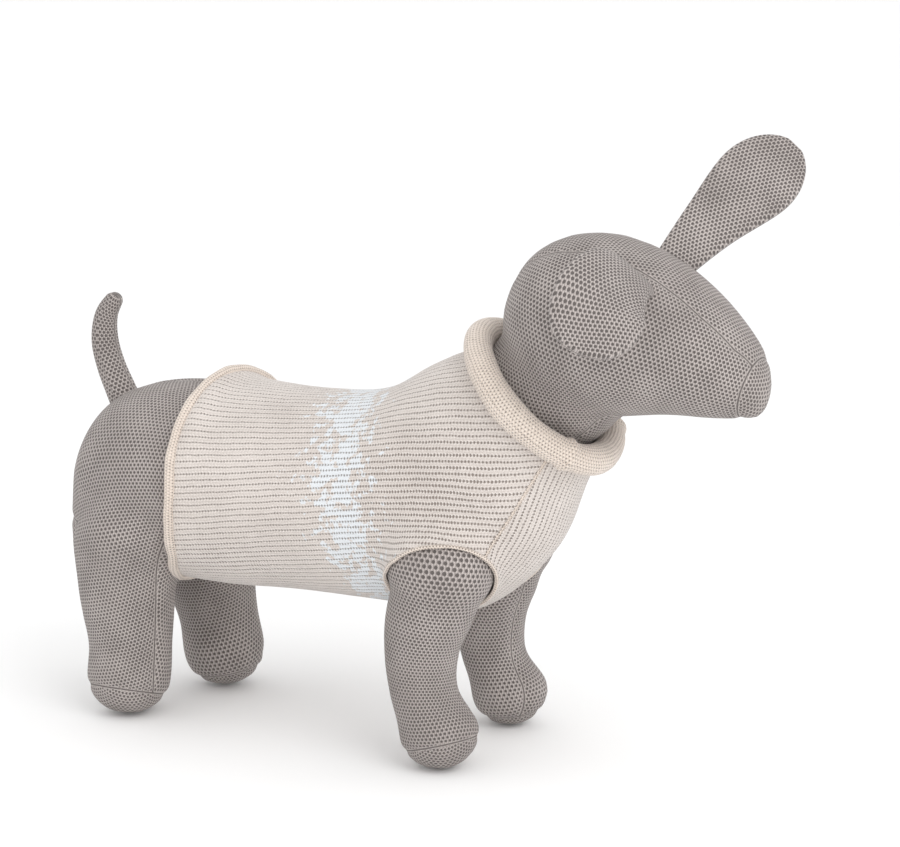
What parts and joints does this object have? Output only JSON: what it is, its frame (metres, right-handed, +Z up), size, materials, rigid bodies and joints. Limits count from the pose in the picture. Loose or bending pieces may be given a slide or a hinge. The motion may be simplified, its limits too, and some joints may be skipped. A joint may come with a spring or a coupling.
{
  "type": "plush dog",
  "caption": "Stuffed dog in spacer-mesh fabric, standing on padded feet, with bendable ears and tail and a ribbed roll-neck knitted sweater",
  "frame": {"origin": "middle of the bottom of the dog's bounding box, on the surface that the feet stand on", "axes": "+X to the dog's nose, +Y to the dog's left, +Z up"},
  "size_m": [0.4239, 0.1776, 0.3405],
  "materials": {
    "spacer_mesh": "knitted spacer mesh, matt, small oval holes",
    "knit": "stocking-stitch knit with a mottled pale blue band, matt",
    "filling": "fibre filling, matt",
    "stiffener": "stiff felt and wired core, matt"
  },
  "bodies": {
    "torso": {"torso_right_panel": "spacer_mesh", "torso_left_panel": "spacer_mesh", "torso_filling": "filling", "sweater_back_panel": "knit", "sweater_chest_panel": "knit", "sweater_belly_seam": "knit", "sweater_raglan_seam_right": "knit", "sweater_raglan_seam_left": "knit", "sweater_armhole_edge_right": "knit", "sweater_armhole_edge_left": "knit", "sweater_hem_roll": "knit", "sweater_collar_roll": "knit"},
    "neck": {"neck_cover": "spacer_mesh", "neck_filling": "filling"},
    "head": {"head_right_panel": "spacer_mesh", "head_left_panel": "spacer_mesh", "head_top_gusset": "spacer_mesh", "nose_panel": "spacer_mesh", "head_filling": "filling"},
    "ear_right": {"ear_right_front_panel": "spacer_mesh", "ear_right_back_panel": "spacer_mesh", "ear_right_stiffener": "stiffener"},
    "ear_left": {"ear_left_front_panel": "spacer_mesh", "ear_left_back_panel": "spacer_mesh", "ear_left_stiffener": "stiffener"},
    "tail_lower": {"tail_lower_right_panel": "spacer_mesh", "tail_lower_left_panel": "spacer_mesh", "tail_lower_wired_core": "stiffener"},
    "tail_upper": {"tail_upper_right_panel": "spacer_mesh", "tail_upper_left_panel": "spacer_mesh", "tail_upper_wired_core": "stiffener"},
    "leg_front_right": {"leg_front_right_outer_panel": "spacer_mesh", "leg_front_right_inner_panel": "spacer_mesh", "leg_front_right_filling": "filling", "leg_front_right_sole_pad": "spacer_mesh"},
    "leg_front_left": {"leg_front_left_outer_panel": "spacer_mesh", "leg_front_left_inner_panel": "spacer_mesh", "leg_front_left_filling": "filling", "leg_front_left_sole_pad": "spacer_mesh"},
    "leg_hind_right": {"leg_hind_right_outer_panel": "spacer_mesh", "leg_hind_right_inner_panel": "spacer_mesh", "leg_hind_right_filling": "filling", "leg_hind_right_sole_pad": "spacer_mesh"},
    "leg_hind_left": {"leg_hind_left_outer_panel": "spacer_mesh", "leg_hind_left_inner_panel": "spacer_mesh", "leg_hind_left_filling": "filling", "leg_hind_left_sole_pad": "spacer_mesh"}
  },
  "joints": [
    {"name": "leg_front_right_swing", "type": "hinge", "parent": "torso", "child": "leg_front_right", "pos_m": [0.042, -0.039, 0.112], "axis": [0, 1, 0], "range_deg": [-8, 8], "stiffness_Nm_per_rad": 3},
    {"name": "leg_front_left_swing", "type": "hinge", "parent": "torso", "child": "leg_front_left", "pos_m": [0.042, 0.039, 0.112], "axis": [0, 1, 0], "range_deg": [-8, 8], "stiffness_Nm_per_rad": 3},
    {"name": "leg_hind_right_swing", "type": "hinge", "parent": "torso", "child": "leg_hind_right", "pos_m": [-0.16, -0.035, 0.108], "axis": [0, 1, 0], "range_deg": [-8, 8], "stiffness_Nm_per_rad": 3},
    {"name": "leg_hind_left_swing", "type": "hinge", "parent": "torso", "child": "leg_hind_left", "pos_m": [-0.15, 0.035, 0.108], "axis": [0, 1, 0], "range_deg": [-8, 8], "stiffness_Nm_per_rad": 3},
    {"name": "neck_turn", "type": "hinge", "parent": "torso", "child": "neck", "pos_m": [0.085, 0, 0.205], "axis": [0.766, 0, 0.6428], "range_deg": [-15, 15], "stiffness_Nm_per_rad": 3},
    {"name": "head_nod", "type": "hinge", "parent": "neck", "child": "head", "pos_m": [0.10568, 0, 0.22235], "axis": [0, 1, 0], "range_deg": [-3, 8], "stiffness_Nm_per_rad": 3},
    {"name": "ear_right_fold", "type": "hinge", "parent": "head", "child": "ear_right", "pos_m": [0.147, -0.028, 0.28], "axis": [0.766, 0, -0.6428], "range_deg": [-15, 15]},
    {"name": "ear_left_fold", "type": "hinge", "parent": "head", "child": "ear_left", "pos_m": [0.147, 0.028, 0.28], "axis": [0.766, 0, -0.6428], "range_deg": [-15, 15]},
    {"name": "tail_wag", "type": "hinge", "parent": "torso", "child": "tail_lower", "pos_m": [-0.187, 0, 0.184], "axis": [0, 0, 1], "range_deg": [-20, 20]},
    {"name": "tail_curl", "type": "hinge", "parent": "tail_lower", "child": "tail_upper", "pos_m": [-0.2, 0, 0.212], "axis": [0, 1, 0], "range_deg": [-15, 15]}
  ]
}
